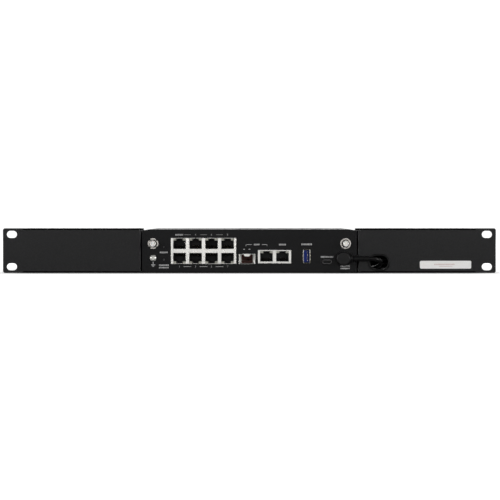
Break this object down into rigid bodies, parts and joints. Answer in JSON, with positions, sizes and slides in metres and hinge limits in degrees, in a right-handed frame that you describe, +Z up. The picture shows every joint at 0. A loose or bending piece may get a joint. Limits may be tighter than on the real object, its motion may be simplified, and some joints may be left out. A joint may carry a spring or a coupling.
{
  "type": "firewall appliance",
  "caption": "Desktop network firewall held port side forward in a one-unit rack tray with slotted ears, with its power adapter fixed behind the right wing.",
  "frame": {"origin": "centre of the four ear slots on the ears' rear face, which bears on the rack's rails", "axes": "+X along the panel to the viewer's right, -Y out of the rack's front, +Z up"},
  "size_m": [0.4826, 0.2474, 0.0436],
  "materials": {
    "tray_coat": "black powder coat, fine texture",
    "case_coat": "black paint, satin",
    "grommet_rubber": "black, matt",
    "sticker": "white printed film",
    "zinc_steel": "zinc plated",
    "bezel_plastic": "black moulded",
    "clear_plastic": "clear moulded",
    "port_nickel": "bright nickel",
    "port_plastic": "black moulded",
    "contact_gold": "gold plated",
    "usb_blue": "blue moulded",
    "aerial_nickel": "nickel plated",
    "insulator": "white",
    "button_plastic": "grey moulded",
    "circuit_board": "green solder mask",
    "chip_plastic": "black moulded",
    "pad": "soft grey",
    "sink_aluminium": "plain extruded",
    "cell_steel": "bright",
    "adapter_plastic": "black, fine spark texture",
    "adapter_board": "brown laminate",
    "lead_jacket": "black, satin",
    "tie_fabric": "black hook and loop"
  },
  "bodies": {
    "appliance": {"adapter_brackets": "tray_coat", "adapter_case_lower": "adapter_plastic", "adapter_case_upper": "adapter_plastic", "adapter_circuit": "adapter_board", "adapter_inlet": "adapter_plastic", "adapter_inlet_pins": "contact_gold", "adapter_relief": "lead_jacket", "aerial_cores": "insulator", "aerial_jack_left": "aerial_nickel", "aerial_jack_right": "aerial_nickel", "aerial_lead_left": "lead_jacket", "aerial_lead_right": "lead_jacket", "aerial_nuts": "aerial_nickel", "board_chips": "chip_plastic", "board_fixings": "zinc_steel", "button_switches": "port_plastic", "cable_grommet": "grommet_rubber", "card_socket": "port_plastic", "clock_cell": "cell_steel", "console_port_shell": "port_nickel", "console_port_tongue": "port_plastic", "cover_screws": "zinc_steel", "earth_screw": "zinc_steel", "hank_tie": "tie_fabric", "heatsink": "sink_aluminium", "lan_jack_contacts": "contact_gold", "lan_jack_housing": "port_plastic", "lan_jack_shield": "port_nickel", "light_pipes": "clear_plastic", "lower_chassis": "case_coat", "main_board": "circuit_board", "power_jack_body": "port_plastic", "power_jack_pin": "contact_gold", "power_lead_front": "lead_jacket", "power_lead_hank": "lead_jacket", "power_lead_rear": "lead_jacket", "power_parts": "chip_plastic", "power_plug_barrel": "aerial_nickel", "power_plug_body": "lead_jacket", "power_plug_relief": "lead_jacket", "processor": "chip_plastic", "rack_tray": "tray_coat", "radio_card": "circuit_board", "rear_bezel": "bezel_plastic", "rear_clamps": "tray_coat", "rubber_feet": "grommet_rubber", "sfp_cage": "port_nickel", "sfp_connector": "port_plastic", "thermal_pad": "pad", "top_cover": "case_coat", "tray_screws": "zinc_steel", "usb_port_contacts": "contact_gold", "usb_port_shell": "port_nickel", "usb_port_tongue": "usb_blue", "wan_jack_contacts": "contact_gold", "wan_jack_housing": "port_plastic", "wan_jack_shield": "port_nickel", "wing_sticker": "sticker"},
    "reset_plunger": {"reset_button": "button_plastic"},
    "default_plunger": {"default_button": "button_plastic"}
  },
  "joints": [
    {"name": "reset_press", "type": "slide", "parent": "appliance", "child": "reset_plunger", "axis": [0, 1, 0], "range_m": [0, 0.0004], "stiffness_N_per_m": 4000},
    {"name": "default_press", "type": "slide", "parent": "appliance", "child": "default_plunger", "axis": [0, 1, 0], "range_m": [0, 0.0004], "stiffness_N_per_m": 4000}
  ]
}
